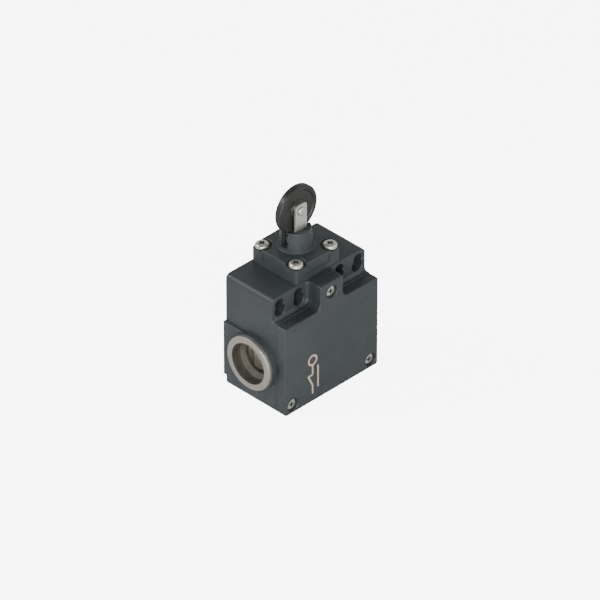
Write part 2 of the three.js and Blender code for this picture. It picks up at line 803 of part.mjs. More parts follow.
function contactPieces() {
  const group = new THREE.Group();
  group.position.y = axisY;
  const [radius, wire] = [contactSpringRadius, contactSpringWire];
  group.add(part('block_base', blockBase(), blockPlastic));
  group.add(part('block_cap', blockCap(), blockPlastic));
  group.add(part('contact_carrier', contactCarrier(), acetal));
  group.add(part('closed_bridge', bridge(closedBridgeTop - rivetHeight - strip, 1), brass));
  group.add(part('open_bridge', bridge(openBridgeBottom + rivetHeight, -1), brass));
  group.add(part('closed_bridge_spring',
    spring(radius, wire, closedSpringTop - closedSpringHeight, closedSpringTop, 3), springSteel));
  group.add(part('open_bridge_spring',
    spring(radius, wire, openStripTop + gap, openStripTop + gap + openSpringHeight, 4), springSteel));
  group.add(part('carrier_spring',
    spring(carrierSpringRadius, carrierSpringWire, blockFloor + gap, carrierBottom - gap, 5),
    springSteel));
  const clampY = -capFront - strip - 2 * gap - clampThickness / 2;
  const screwY = clampY - clampThickness / 2 - gap;
  const shankLength = -capFront + capThickness - gap - screwY;
  for (const place of terminals) {
    const [x, z] = [place.side * terminalX, place.leg + place.up * terminalScrewDrop];
    const clamp = part(`clamp_${place.name}`, clampPlate(), brightSteel);
    clamp.position.set(x, clampY, z);
    const fastener = part(`terminal_screw_${place.name}`,
      screw(terminalScrewRadius, shankLength, terminalScrewHead, terminalScrewHeadHeight),
      brightSteel);
    fastener.position.set(x, screwY, z);
    fastener.rotation.x = Math.PI / 2;
    group.add(part(`terminal_${place.name}`, terminal(place), brass), clamp, fastener);
  }
  const earFront = innerBack - axisY - gap - earThickness;
  const blockScrewLength = innerBack - axisY + blockScrewBite - earFront + gap;
  blockScrewPlaces().forEach(([x, z], i) => {
    const mesh = part(`block_screw_${['upper', 'lower'][i]}`,
      screw(headScrewRadius, blockScrewLength, headScrewHead, headScrewHeadHeight), brightSteel);
    mesh.position.set(x, earFront - gap, z);
    mesh.rotation.x = Math.PI / 2;
    group.add(mesh);
  });
  return group;
}

function earthPieces() {
  const group = new THREE.Group();
  group.position.set(earthX, innerBack - earthBossHeight - gap, roofHeight - earthDrop);
  const half = earthWasherSize / 2;
  const washer = block(-half, half, -earthWasherThickness, 0, -half, half)
    .subtract(rod('y', terminalScrewRadius + gap, -overlap, overlap, [0, 0, 0]));
  const fastener = part('earth_screw',
    screw(terminalScrewRadius, earthScrewLength, terminalScrewHead, terminalScrewHeadHeight), brass);
  fastener.position.y = -earthWasherThickness - gap;
  fastener.rotation.x = Math.PI / 2;
  group.add(part('earth_washer', washer, brass), fastener);
  return group;
}

const limitSwitch = new THREE.Group();
limitSwitch.add(bodyPieces(), headPieces(), contactPieces(), earthPieces());

export default limitSwitch;
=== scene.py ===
# A limit switch with a roller plunger: the looks of each piece, in the order they go together.
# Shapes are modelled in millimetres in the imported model's frame, and scaled to metres when done.
import math

import bmesh
import bpy
from mathutils import Matrix, Vector


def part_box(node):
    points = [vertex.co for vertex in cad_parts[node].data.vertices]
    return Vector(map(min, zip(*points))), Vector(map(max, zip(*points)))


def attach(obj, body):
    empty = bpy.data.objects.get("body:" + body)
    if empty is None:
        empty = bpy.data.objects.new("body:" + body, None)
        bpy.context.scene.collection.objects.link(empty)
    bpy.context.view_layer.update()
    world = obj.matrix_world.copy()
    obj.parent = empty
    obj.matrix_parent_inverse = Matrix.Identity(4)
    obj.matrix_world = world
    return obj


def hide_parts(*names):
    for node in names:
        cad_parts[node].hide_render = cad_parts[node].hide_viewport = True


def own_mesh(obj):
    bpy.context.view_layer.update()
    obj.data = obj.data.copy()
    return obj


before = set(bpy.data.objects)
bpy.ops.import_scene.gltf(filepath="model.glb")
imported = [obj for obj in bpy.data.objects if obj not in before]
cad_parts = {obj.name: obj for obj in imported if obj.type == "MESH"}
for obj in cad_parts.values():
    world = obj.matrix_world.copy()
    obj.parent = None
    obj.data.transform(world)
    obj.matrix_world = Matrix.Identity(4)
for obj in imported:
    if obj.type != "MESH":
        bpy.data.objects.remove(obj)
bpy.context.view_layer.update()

# ---- Housing ----
# A zinc die casting, open at the front, with a raised pad and a threaded cable entry on each
# side. It is powder painted all over, and the entries are machined afterwards, so they are bare.

MM = 0.001
RUN_PAST = 1.0           # how far a cutting shape runs past the face that it cuts
GAP = 0.3                # the free space left between one piece and the next
SCREW_HOLE = 1.8         # radius of a hole that a 3 mm screw passes


def span(node):
    """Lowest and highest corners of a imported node, in millimetres."""
    low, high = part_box(node)
    return low / MM, high / MM


def middle_of(node):
    low, high = span(node)
    return (low + high) / 2


def linear(code):
    """An sRGB hex colour as linear red, green, blue and alpha."""
    shares = [int(code[i:i + 2], 16) / 255 for i in (1, 3, 5)]
    return (*[c / 12.92 if c <= 0.04045 else ((c + 0.055) / 1.055) ** 2.4 for c in shares], 1)


def add(tree, kind, inputs=None, **settings):
    """Adds a shader node with its settings, and its inputs given values or linked to sockets."""
    made = tree.nodes.new(kind)
    for name, value in settings.items():
        setattr(made, name, value)
    for name, value in (inputs or {}).items():
        if isinstance(value, bpy.types.NodeSocket):
            tree.links.new(value, made.inputs[name])
        else:
            made.inputs[name].default_value = value
    return made


def finish(name, shades, patch, roughness, metallic, grain, relief, stretch=(1, 1, 1), more=None):
    """A finish whose colour drifts between two shades in patches, over a fine raised grain.

    patch and grain are sizes in millimetres, relief is the grain's height in millimetres,
    and stretch squeezes the grain along x, y and z, as brushing or drawing does.
    """
    material = bpy.data.materials.new(name)
    material.use_nodes = True
    tree = material.node_tree
    tree.nodes.clear()
    place = add(tree, "ShaderNodeTexCoord").outputs["Object"]
    drawn = add(tree, "ShaderNodeMapping", {"Vector": place, "Scale": stretch}).outputs["Vector"]
    drift = add(tree, "ShaderNodeTexNoise",
                {"Vector": place, "Scale": 1 / (patch * MM), "Detail": 3.0}).outputs["Fac"]
    grit = add(tree, "ShaderNodeTexNoise",
               {"Vector": drawn, "Scale": 1 / (grain * MM), "Detail": 4.0}).outputs["Fac"]
    mottle = add(tree, "ShaderNodeMath", {0: drift, 1: grit}, operation="ADD").outputs[0]
    share = add(tree, "ShaderNodeMapRange",
                {"Value": mottle, "From Min": 0.7, "From Max": 1.3}).outputs["Result"]
    colour = add(tree, "ShaderNodeMix", {0: share, 6: linear(shades[0]), 7: linear(shades[1])},
                 data_type="RGBA").outputs[2]
    rough = add(tree, "ShaderNodeMapRange",
                {"Value": grit, "From Min": 0.3, "From Max": 0.7,
                 "To Min": roughness[0], "To Max": roughness[1]}).outputs["Result"]
    bump = add(tree, "ShaderNodeBump",
               {"Height": grit, "Strength": 1.0, "Distance": relief * MM}).outputs["Normal"]
    shader = add(tree, "ShaderNodeBsdfPrincipled",
                 {"Base Color": colour, "Roughness": rough, "Metallic": metallic,
                  "Normal": bump, **(more or {})})
    add(tree, "ShaderNodeOutputMaterial", {"Surface": shader.outputs["BSDF"]})
    return material


def outline(corners, steps=4):
    """A flat face across y = 0 through (x, z, rounding) corners."""
    bm = bmesh.new()
    verts = [bm.verts.new((x, 0, z)) for x, z, _ in corners]
    bm.faces.new(verts)
    for rounding in sorted({corner[2] for corner in corners if corner[2]}):
        chosen = [v for v, corner in zip(verts, corners) if corner[2] == rounding]
        bmesh.ops.bevel(bm, geom=chosen, offset=rounding, segments=steps, profile=0.5,
                        affect="VERTICES", material=-1)
    return bm


def cast_between(corners, near, far, near_edge=0.0, far_edge=0.0, steps=4):
    """The outline as a solid between two depths on y, with its front and back edges rounded."""
    bm = outline(corners, steps)
    bmesh.ops.translate(bm, verts=bm.verts, vec=(0, near, 0))
    grown = bmesh.ops.extrude_face_region(bm, geom=bm.faces[:])["geom"]
    moved = [item for item in grown if isinstance(item, bmesh.types.BMVert)]
    bmesh.ops.translate(bm, verts=moved, vec=(0, far - near, 0))
    bmesh.ops.recalc_face_normals(bm, faces=bm.faces)
    for depth, edge in ((near, near_edge), (far, far_edge)):
        if edge:
            rim = [e for e in bm.edges if all(abs(v.co.y - depth) < 1e-4 for v in e.verts)]
            bmesh.ops.bevel(bm, geom=rim, offset=edge, segments=3, profile=0.5,
                            affect="EDGES", material=-1, clamp_overlap=True)
    return bm


def turned(points, turns=64, rounding_steps=3):
    """A round solid about z from (radius, height, rounding) points.

    The points run from the axis back to the axis, or all round a ring's section.
    """
    bm = outline(points, rounding_steps)
    bmesh.ops.delete(bm, geom=bm.faces[:], context="FACES_ONLY")
    on_axis = [e for e in bm.edges if all(v.co.x < 1e-6 for v in e.verts)]
    bmesh.ops.delete(bm, geom=on_axis, context="EDGES_FACES")
    bmesh.ops.spin(bm, geom=bm.verts[:] + bm.edges[:], cent=(0, 0, 0), axis=(0, 0, 1),
                   angle=2 * math.pi, steps=turns, use_merge=True)
    bmesh.ops.remove_doubles(bm, verts=bm.verts, dist=1e-4)
    bmesh.ops.recalc_face_normals(bm, faces=bm.faces)
    return bm


def swung(bm, axis, angle, centre):
    """A shape turned about an axis through the origin and moved to its place."""
    bmesh.ops.rotate(bm, cent=(0, 0, 0), matrix=Matrix.Rotation(angle, 3, axis), verts=bm.verts)
    bmesh.ops.translate(bm, verts=bm.verts, vec=centre)
    return bm


def laid(bm, axis, centre):
    """A shape that stands along z, laid along the given axis and moved to its place."""
    about, angle = {"x": ("Y", math.pi / 2), "y": ("X", -math.pi / 2), "z": ("Z", 0)}[axis]
    return swung(bm, about, angle, centre)


def facing(bm, sign):
    """A shape along z, mirrored to face down where the sign is negative."""
    bmesh.ops.scale(bm, vec=(1, 1, sign), verts=bm.verts)
    bmesh.ops.recalc_face_normals(bm, faces=bm.faces)
    return bm


def drill(axis, radius, start, end, centre, flare=0.0, turns=48):
    """A round cutter from start to end along an axis, with its mouths flared where it leaves."""
    wide = radius + flare + RUN_PAST
    points = [(0, start - RUN_PAST, 0), (wide, start - RUN_PAST, 0), (radius, start + flare, 0),
              (radius, end - flare, 0), (wide, end + RUN_PAST, 0), (0, end + RUN_PAST, 0)]
    if not flare:
        points = [(0, start, 0), (radius, start, 0), (radius, end, 0), (0, end, 0)]
    return laid(turned(points, turns), axis, centre)


def as_object(bm, name, *materials):
    mesh = bpy.data.meshes.new(name)
    bm.to_mesh(mesh)
    bm.free()
    made = bpy.data.objects.new(name, mesh)
    bpy.context.scene.collection.objects.link(made)
    for material in materials:
        mesh.materials.append(material)
    return made


def fuse(piece, bm, material, operation="UNION"):
    """Joins a shape to a piece, or cuts it away, with the shape's faces in its own material."""
    tool = as_object(bm, "tool", material)
    step = piece.modifiers.new("join or cut", "BOOLEAN")
    step.operation = operation
    step.object = tool
    step.solver = "MANIFOLD"
    step.material_mode = "TRANSFER"
    seen = piece.evaluated_get(bpy.context.evaluated_depsgraph_get())
    shape = bpy.data.meshes.new_from_object(seen)
    piece.modifiers.clear()
    old, tool_mesh = piece.data, tool.data
    piece.data = shape
    bpy.data.objects.remove(tool)
    bpy.data.meshes.remove(tool_mesh)
    bpy.data.meshes.remove(old)


def cut(piece, bm, material):
    fuse(piece, bm, material, "DIFFERENCE")


def complete(piece, body, slot, *nodes, crease=32):
    """Scales a piece to metres, smooths its shading, ties it to its body and hides its nodes. slot
    is not used.
    """
    bm = bmesh.new()
    bm.from_mesh(piece.data)
    bmesh.ops.remove_doubles(bm, verts=bm.verts, dist=0.003)
    bmesh.ops.scale(bm, vec=(MM, MM, MM), verts=bm.verts)
    bm.to_mesh(piece.data)
    bm.free()
    piece.data.shade_smooth()
    piece.data.set_sharp_from_angle(angle=math.radians(crease))
    steady = piece.modifiers.new("even shading", "WEIGHTED_NORMAL")
    steady.keep_sharp = True
    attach(piece, body)
    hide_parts(*nodes)
    return piece


# Powder paint over the casting: dark grey with a cool cast, satin, with a fine orange-peel skin.
powder_paint = finish("dark grey powder paint", ("#353a3c", "#3b4042"), 9.0, (0.4, 0.52), 0.0,
                      0.55, 0.012)
# Zinc alloy cut by a tool: pale and warm, with fine turned marks.
machined_zinc = finish("machined zinc alloy", ("#b3aca3", "#c4beb5"), 3.0, (0.34, 0.5), 0.9,
                       0.35, 0.01, (4, 1, 1))
# The same alloy inside the bores, a little rougher, darkened as painted shade for their shade.
bore_zinc_painted_shade = finish("bore zinc alloy with painted shade", ("#57544e", "#68645c"), 2.5, (0.42, 0.58), 0.6,
                    0.4, 0.012, (4, 1, 1))
# The casting's inside as it leaves the die: dull, pale grey and slightly mottled.
raw_zinc = finish("raw zinc casting", ("#a39e94", "#bdb8ad"), 4.0, (0.5, 0.65), 0.5, 0.8, 0.03)

cover_low, cover_high = span("cover")
housing_high = span("housing")[1]
head_low, head_high = span("head")
half_width = cover_high.x
front, seam = cover_low.y, cover_high.y
seam_line = 0.08          # the fine dark line between the cover and the housing
rim, back = seam + seam_line, housing_high.y
body_top = cover_high.z
axis_y = (head_low.y + head_high.y) / 2
fixing_plane = head_low.y - GAP
wall = 3.0
cavity_side, cavity_back = half_width - wall, back - wall
cavity_floor, cavity_roof, cavity_rounding = wall, 38.0, 1.5
ledge = 40.6
tab_half = 6.1
shoulder_rounding, foot_rounding, ledge_rounding, tab_fillet = 2.3, 1.2, 0.9, 3.0
tab_rounding = 0.8


def tabbed(height, grown=0.0, inset=0.0):
    """The front's outline: a wide plate with a narrow tab that rises from its middle.

    grown widens the tab and lifts the ledge, and inset draws in the sides and the bottom.
    """
    wide, tab, top = half_width - inset, tab_half + grown, body_top - inset
    return [
        (-wide, inset, foot_rounding), (wide, inset, foot_rounding),
        (wide, height + grown, ledge_rounding), (tab, height + grown, tab_fillet - grown),
        (tab, top, tab_rounding), (-tab, top, tab_rounding),
        (-tab, height + grown, tab_fillet - grown), (-wide, height + grown, ledge_rounding),
    ]


def lofted(layers, steps=6):
    """A solid through outlines at successive depths on y, all with the same corners."""
    bm = bmesh.new()
    last = []
    for corners, depth in layers:
        layer = outline(corners, steps)
        bmesh.ops.delete(layer, geom=layer.faces[:], context="FACES_ONLY")
        bmesh.ops.translate(layer, verts=layer.verts, vec=(0, depth, 0))
        carried = bpy.data.meshes.new("layer")
        layer.to_mesh(carried)
        layer.free()
        known = set(bm.edges)
        bm.from_mesh(carried)
        bpy.data.meshes.remove(carried)
        ring = [e for e in bm.edges if e not in known]
        if last:
            bmesh.ops.bridge_loops(bm, edges=last + ring)
        last = ring
    bmesh.ops.holes_fill(bm, edges=[e for e in bm.edges if e.is_boundary])
    bmesh.ops.recalc_face_normals(bm, faces=bm.faces)
    return bm


shell = as_object(cast_between(
    [(-half_width, 0, foot_rounding), (half_width, 0, foot_rounding),
     (half_width, body_top, shoulder_rounding), (-half_width, body_top, shoulder_rounding)],
    fixing_plane, back, 0.4, 0.7, steps=6), "cast_housing", powder_paint)
fuse(shell, cast_between(tabbed(ledge), rim, fixing_plane + RUN_PAST, 0.18, steps=6), powder_paint)
# A hollow fillet runs along the ledge and up both sides of the tab.
blend_radius, blend_steps = 1.6, 6
blend = []
for step in range(blend_steps + 1):
    angle = (0.05 + 0.9 * step / blend_steps) * math.pi / 2
    grown = blend_radius * (1 - math.cos(angle))
    depth = fixing_plane - blend_radius * (1 - math.sin(angle))
    blend.append((tabbed(ledge, grown, 0.1), depth))
sunk_layer = (tabbed(ledge, -0.5, 0.1), blend[0][1])
blend = [sunk_layer, *blend, (blend[-1][0], fixing_plane + 0.5)]
fuse(shell, lofted(blend), powder_paint)

entry_z = 19.0
entry_face = housing_high.x
pad_face, pad_front, pad_bottom, pad_top = half_width + 1.2, -2.5, 5.0, 29.5
collar_radius, face_radius, bore_radius, neck_radius = 11.8, 11.35, 8.6, 6.6
collar_face = entry_face - 1.3
for side in (-1, 1):
    root = side * (half_width - RUN_PAST)
    pad = [(root, pad_bottom, 0), (side * pad_face, pad_bottom, 0.3),
           (side * pad_face, pad_top, 0.3), (root, pad_top, 0)]
    fuse(shell, cast_between(pad, pad_front, back - 0.01, 0.3, 0.6), powder_paint)
    entry = (side * half_width, 0, entry_z)
    collar = turned([(0, -RUN_PAST, 0), (collar_radius, -RUN_PAST, 0),
                     (collar_radius, collar_face - half_width, 0.35),
                     (0, collar_face - half_width, 0)], 96)
    fuse(shell, laid(facing(collar, side), "x", entry), powder_paint)
    machined = turned([(0, 1, 0), (face_radius, 1, 0),
                       (face_radius, entry_face - half_width, 0.45),
                       (0, entry_face - half_width, 0)], 96)
    fuse(shell, laid(facing(machined, side), "x", entry), machined_zinc)

# The entries' collars stand forward of the housing's rim, clear of the cover's side.
cover_side = half_width + GAP
for side in (-1, 1):
    reach = sorted((side * (half_width - 2), side * cover_side))
    clear = [(reach[0], -RUN_PAST, 0), (reach[1], -RUN_PAST, 0),
             (reach[1], body_top, 0), (reach[0], body_top, 0)]
    cut(shell, cast_between(clear, front - RUN_PAST, rim), powder_paint)


def hollow(roof):
    """The outline of the space inside the housing or the cover, up to its roof."""
    return [(-cavity_side, cavity_floor, cavity_rounding),
            (cavity_side, cavity_floor, cavity_rounding),
            (cavity_side, roof, cavity_rounding), (-cavity_side, roof, cavity_rounding)]


cut(shell, cast_between(hollow(cavity_roof), rim - RUN_PAST, cavity_back, 0, 1.0), raw_zinc)

cover_screws = ("cover_screw_left", "cover_screw_right", "cover_screw_top")
cover_screw_places = {}
for name in cover_screws:
    middle = middle_of(name)
    cover_screw_places[name] = (middle.x, middle.z, span(name)[1].y)
post_radius, screw_hole = 3.3, 1.55
for name in cover_screws[:2]:
    x, z, screw_end = cover_screw_places[name]
    post = drill("y", post_radius, rim + 0.05, screw_end + 3, (x, 0, z), turns=32)
    fuse(shell, post, raw_zinc)
# Each entry is bored wide for the cable gland, then coned down to a neck through the wall.
thread_pitch, thread_depth, thread_turns = 1.1, 0.14, 3
bore_depth, neck_depth, mouth = 4.2, 5.5, entry_face - half_width
mouth_edge, neck_flare = 0.12, 1.25
inner = cavity_side - half_width
for side in (-1, 1):
    profile = [(0, mouth + RUN_PAST, 0),
               (bore_radius + mouth_edge + RUN_PAST, mouth + RUN_PAST, 0),
               (bore_radius, mouth - mouth_edge, 0)]
    for turn in range(thread_turns):
        crest = mouth - 0.45 - turn * thread_pitch
        profile += [(bore_radius, crest, 0), (bore_radius + thread_depth, crest - 0.4, 0),
                    (bore_radius + thread_depth, crest - 0.5, 0), (bore_radius, crest - 0.9, 0)]
    profile += [(bore_radius, mouth - bore_depth, 0.1), (neck_radius, mouth - neck_depth, 0.2),
                (neck_radius, inner + neck_flare - RUN_PAST, 0),
                (neck_radius + neck_flare, inner - RUN_PAST, 0), (0, inner - RUN_PAST, 0)]
    bore = facing(turned(profile, 96), side)
    # The bore's faces take the darkened zinc: painted shade inside the entry.
    cut(shell, laid(bore, "x", (side * half_width, 0, entry_z)), bore_zinc_painted_shade)

slot_flare = 0.22
# Each fixing slot is a narrow hole with a wider one under it, set a little towards the middle.
slot_places, slot_drift = (21.0, 11.0), 0.4
slot_holes = [(0.0, 47.2, 2.15), (slot_drift, 44.3, 2.7)]
for place in slot_places:
    for drift, z, radius in slot_holes:
        for side in (-1, 1):
            hole = drill("y", radius, fixing_plane, back, (side * (place - drift), 0, z), slot_flare)
            cut(shell, hole, powder_paint)
for name in cover_screws:
    x, z, screw_end = cover_screw_places[name]
    hole = drill("y", screw_hole, rim - RUN_PAST, screw_end + GAP, (x, 0, z), turns=24)
    cut(shell, hole, raw_zinc)
seal_low, seal_high = span("stem_seal")
bush_low, bush_high = span("guide_bush")
guide_radius, chamber_radius = 4.3, seal_high.x + GAP
cut(shell, drill("z", chamber_radius, cavity_roof + 3, body_top + 2, (0, axis_y, 0)), raw_zinc)
cut(shell, drill("z", guide_radius, cavity_roof - 2, body_top, (0, axis_y, 0)), raw_zinc)
head_screws = ("head_screw_front_left", "head_screw_front_right",
               "head_screw_rear_left", "head_screw_rear_right")
for name in head_screws:
    middle, screw_end = middle_of(name), span(name)[0].z
    hole = drill("z", SCREW_HOLE, screw_end - GAP, body_top + 2, (middle.x, middle.y, 0), turns=24)
    cut(shell, hole, raw_zinc)
block_screws = ("block_screw_upper", "block_screw_lower")
for name in block_screws:
    middle, screw_end = middle_of(name), span(name)[1].y
    hole = drill("y", SCREW_HOLE, cavity_back - 2, screw_end + GAP, (middle.x, 0, middle.z),
                 turns=24)
    cut(shell, hole, raw_zinc)
earth_low, earth_high = span("earth_washer")
earth = (earth_low + earth_high) / 2
boss_radius = 3.2
boss = drill("y", boss_radius, earth_high.y + GAP, cavity_back + RUN_PAST, (earth.x, 0, earth.z),
             turns=32)
fuse(shell, boss, machined_zinc)
earth_hole = drill("y", SCREW_HOLE, earth_low.y, cavity_back + GAP, (earth.x, 0, earth.z), turns=24)
cut(shell, earth_hole, machined_zinc)
complete(shell, "root", "painted_casting", "housing")

# ---- Guide bush, stem seal and spring seat ----
# They drop into the housing's bore from above: a flanged acetal bush that guides the plunger,
# a rubber ring that wipes it, and a flat steel ring for the return spring to stand on.

# Moulded acetal: waxy, off white and smooth.
white_acetal = finish("moulded white acetal", ("#ddd9cc", "#e6e2d6"), 6.0, (0.35, 0.45), 0.0,
                      0.6, 0.006)
# Nitrile rubber: nearly black and dull, with a dusty bloom.
seal_rubber = finish("black nitrile rubber", ("#161617", "#222223"), 3.0, (0.7, 0.85), 0.0,
                     0.4, 0.02)
# Spring steel, rolled or drawn: grey and fairly smooth.
spring_steel = finish("drawn spring steel", ("#9c9c98", "#b4b4b0"), 2.0, (0.28, 0.4), 1.0,
                      0.25, 0.004)
stem_radius = 2.5
bush_bore, bush_radius, bush_flange = stem_radius + GAP, 4.0, 0.8
flange_under = bush_high.z - bush_flange
bush = turned([(bush_bore, bush_low.z, 0.2), (bush_radius, bush_low.z, 0.2),
               (bush_radius, flange_under, 0), (bush_high.x, flange_under, 0.1),
               (bush_high.x, bush_high.z, 0.15), (bush_bore, bush_high.z, 0.2)])
bush = as_object(laid(bush, "z", (0, axis_y, 0)), "plunger_bush", white_acetal)
complete(bush, "root", "slide_plastic", "guide_bush")
lip = turned([(bush_bore, seal_low.z + 0.5, 0.15), (3.6, seal_low.z, 0.1),
              (seal_high.x, seal_low.z, 0.2), (seal_high.x, seal_high.z, 0.2),
              (3.8, seal_high.z, 0.2), (bush_bore + 0.5, seal_low.z + 0.8, 0.1)])
lip = as_object(laid(lip, "z", (0, axis_y, 0)), "wiper_ring", seal_rubber)
complete(lip, "root", "seal_rubber", "stem_seal")
seat_low, seat_high = span("spring_seat")
seat = turned([(bush_bore, seat_low.z, 0.1), (seat_high.x, seat_low.z, 0.1),
               (seat_high.x, seat_high.z, 0.1), (bush_bore, seat_high.z, 0.1)])
seat = as_object(laid(seat, "z", (0, axis_y, 0)), "seat_ring", spring_steel)
complete(seat, "root", "spring_steel", "spring_seat")

# ---- Springs ----
# Wound from round wire with an end turn closed at each end: the return spring under the plunger's
# flange, and three small ones in the contact block.


def wound(node, wire, turns):
    """A helical compression spring between a node's lowest and highest levels."""
    low, high = span(node)
    radius = (high.x - low.x) / 2 - wire
    bm = bmesh.new()
    bmesh.ops.create_circle(bm, cap_ends=False, radius=wire, segments=10)
    swung(bm, "X", math.pi / 2, (radius, 0, low.z + wire))
    section = bm.verts[:] + bm.edges[:]
    closed_rise, steps = 2 * wire, 28
    active_rise = high.z - low.z - 2 * wire - 2 * closed_rise
    for share, rise in ((1, closed_rise), (turns - 2, active_rise), (1, closed_rise)):
        count = round(share * steps)
        spun = bmesh.ops.spin(bm, geom=section, cent=(0, 0, 0), axis=(0, 0, 1),
                              dvec=(0, 0, rise / count), angle=2 * math.pi * share, steps=count)
        section = spun["geom_last"]
    ends = [e for e in bm.edges if e.is_boundary]
    bmesh.ops.holes_fill(bm, edges=ends)
    bmesh.ops.recalc_face_normals(bm, faces=bm.faces)
    middle = middle_of(node)
    return laid(bm, "z", (middle.x, middle.y, 0))


# Each spring's wire, turns, body, the joint that presses it, its still end and its crush.
springs = [
    ("return_spring", "return_coil", 0.45, 5.0, "root", "plunger_slide", "low", 4.5),
    ("carrier_spring", "carrier_coil", 0.25, 6.0, "root", "carrier_slide", "low", 4.5),
    ("closed_bridge_spring", "closed_contact_coil", 0.2, 4.0, "carrier", None, None, 0),
    ("open_bridge_spring", "open_contact_coil", 0.2, 5.0, "carrier", "open_bridge_slide", "high",
     1.9),
]
for node, name, wire, turns, body, joint, fixed_end, crush in springs:
    coil = as_object(wound(node, wire, turns), name, spring_steel)
    complete(coil, body, "spring_steel", node, crease=60)
    if joint:
        low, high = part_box(node)
        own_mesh(coil)

# ---- Contact block ----
# A thermoset base and cap that hold four fixed contacts, a sliding carrier and two moving
# contacts. Two screws through its diagonal ears hold it to the housing's back wall.

# Moulded thermoset: pale beige and matt, with a faint grain of filler.
block_plastic = finish("moulded thermoset", ("#d8cfbf", "#e4dccd"), 5.0, (0.5, 0.62), 0.0,
                       0.5, 0.015)
# Brass strip, stamped: warm yellow and bright.
brass_strip = finish("stamped brass strip", ("#a88a4c", "#bf9f5e"), 3.0, (0.26, 0.4), 1.0,
                     0.3, 0.006, (1, 3, 1))


def bar(x, y, z, edge=0.25):
    """A moulded bar between places on x, y and z, with all its edges rounded."""
    bm = bmesh.new()
    bmesh.ops.create_cube(bm, size=1)
    sizes = [abs(b - a) for a, b in (x, y, z)]
    bmesh.ops.scale(bm, vec=sizes, verts=bm.verts)
    bmesh.ops.translate(bm, verts=bm.verts, vec=[(a + b) / 2 for a, b in (x, y, z)])
    if edge:
        bmesh.ops.bevel(bm, geom=bm.edges[:], offset=edge, segments=2, profile=0.5,
                        affect="EDGES", material=-1)
    return bm


block_low, block_high = span("block_base")
cap_low, cap_high = span("block_cap")
block_half, block_wall = cap_high.x, 1.8
ear_radius, ear_depth = 2.9, 2.7
base = as_object(bar((-block_half, block_half), (block_low.y, block_high.y),
                     (block_low.z, block_high.z), 0.4), "contact_block_base", block_plastic)
for name in block_screws:
    x, _, z = middle_of(name)
    inside = math.copysign(block_half - 2, x)
    ear_front = block_high.y - ear_depth
    ear = bar((inside, x), (ear_front, block_high.y - 0.02), (z - ear_radius, z + ear_radius), 0.2)
    fuse(base, ear, block_plastic)
    ear_end = drill("y", ear_radius, ear_front + 0.01, block_high.y - 0.01, (x, 0, z), turns=32)
    fuse(base, ear_end, block_plastic)
    ear_hole = drill("y", SCREW_HOLE, ear_front, block_high.y, (x, 0, z), 0.2, turns=24)
    cut(base, ear_hole, block_plastic)
chamber_half = block_half - block_wall
cut(base, bar((-chamber_half, chamber_half), (block_low.y - 3, axis_y + 4.5),
              (block_low.z + 1.5, block_high.z - 1.5), 0.5), block_plastic)
carrier_low, carrier_high = span("contact_carrier")
cut(base, bar((carrier_low.x - GAP, carrier_high.x + GAP),
              (carrier_low.y - GAP, carrier_high.y + GAP),
              (block_high.z - 2.5, block_high.z + RUN_PAST), 0), block_plastic)
complete(base, "root", "block_plastic", "block_base")

terminals = ("closed_left", "closed_right", "open_left", "open_right")
cap_back = cap_high.y
rib_depth, rib_half, strip_thickness = 2.7, 0.8, 0.9
cap = as_object(bar((-block_half, block_half), (cap_low.y + rib_depth, cap_back),
                    (cap_low.z, cap_high.z), 0.3), "contact_block_cap", block_plastic)
rib = bar((-rib_half, rib_half), (cap_low.y, cap_back - 1), (cap_low.z + 0.01, cap_high.z - 0.01),
          0.3)
fuse(cap, rib, block_plastic)
for place in terminals:
    low, high = span(f"terminal_{place}")
    x, _, z = middle_of(f"terminal_screw_{place}")
    leg = (low.z, low.z + strip_thickness)
    if place.startswith("open"):
        leg = (high.z - strip_thickness, high.z)
    cut(cap, bar((low.x - GAP, high.x + GAP), (cap_low.y, cap_back + RUN_PAST),
                 (leg[0] - GAP, leg[1] + GAP), 0), block_plastic)
    terminal_hole = drill("y", SCREW_HOLE, cap_low.y, cap_back + RUN_PAST, (x, 0, z), turns=24)
    cut(cap, terminal_hole, block_plastic)
    strip = bar((low.x, high.x), (low.y, high.y), leg, 0.12)
    blade = as_object(strip, f"fixed_contact_{place}", brass_strip)
    tab = bar((low.x + 0.01, high.x - 0.01), (low.y, low.y + strip_thickness), (low.z, high.z),
              0.12)
    fuse(blade, tab, brass_strip)
    tab_hole = drill("y", SCREW_HOLE, low.y - 1, low.y + 2, (x, 0, z), turns=24)
    cut(blade, tab_hole, brass_strip)
    complete(blade, "root", "brass", f"terminal_{place}")
complete(cap, "root", "block_plastic", "block_cap")

# Each moving contact is a strip with a rivet proud of it at both ends, towards its partner.
rivet_radius, rivet_height, rivet_proud = 1.1, 0.7, 0.5
for name, pointing in (("closed_bridge", 1), ("open_bridge", -1)):
    low, high = span(name)
    strip = (low.z, high.z - rivet_proud) if pointing > 0 else (low.z + rivet_proud, high.z)
    moving = as_object(bar((low.x, high.x), (low.y, high.y), strip, 0.15), f"moving_{name}",
                       brass_strip)
    for side in (-1, 1):
        rivet = turned([(0, 0, 0), (rivet_radius, 0, 0), (rivet_radius, rivet_height, 0.3),
                        (0, rivet_height, 0)], 32)
        foot = strip[1] - 0.2 if pointing > 0 else strip[0] + 0.2
        rivet = laid(facing(rivet, pointing), "z", (side * (high.x - 2), axis_y, foot))
        fuse(moving, rivet, machined_zinc)
    complete(moving, "carrier" if pointing > 0 else "open_bridge", "brass", name)

slide = as_object(bar((carrier_low.x, carrier_high.x), (carrier_low.y, carrier_high.y),
                      (carrier_low.z, carrier_high.z), 0.25), "contact_slide", white_acetal)
